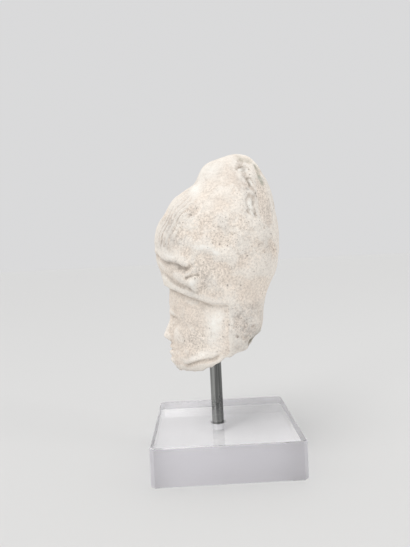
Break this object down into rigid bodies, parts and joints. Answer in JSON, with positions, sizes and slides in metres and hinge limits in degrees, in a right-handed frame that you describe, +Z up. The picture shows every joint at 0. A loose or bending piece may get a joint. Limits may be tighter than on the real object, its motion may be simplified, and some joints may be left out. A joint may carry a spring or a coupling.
{
  "type": "terracotta head on a mount",
  "caption": "Small worn terracotta head in a tall folded headdress, broken at the neck, held up by a steel rod in a clear acrylic block.",
  "frame": {"origin": "middle of the underside of the acrylic block, on the surface that the mount stands on", "axes": "+Z up along the rod, -X the way the face looks, -Y towards the side of the head that the picture shows"},
  "size_m": [0.06, 0.06, 0.1292],
  "materials": {
    "terracotta": "matte",
    "steel": "polished",
    "acrylic": "gloss"
  },
  "bodies": {
    "root": {"terracotta_head": "terracotta", "mounting_rod": "steel", "acrylic_block": "acrylic"}
  },
  "joints": []
}
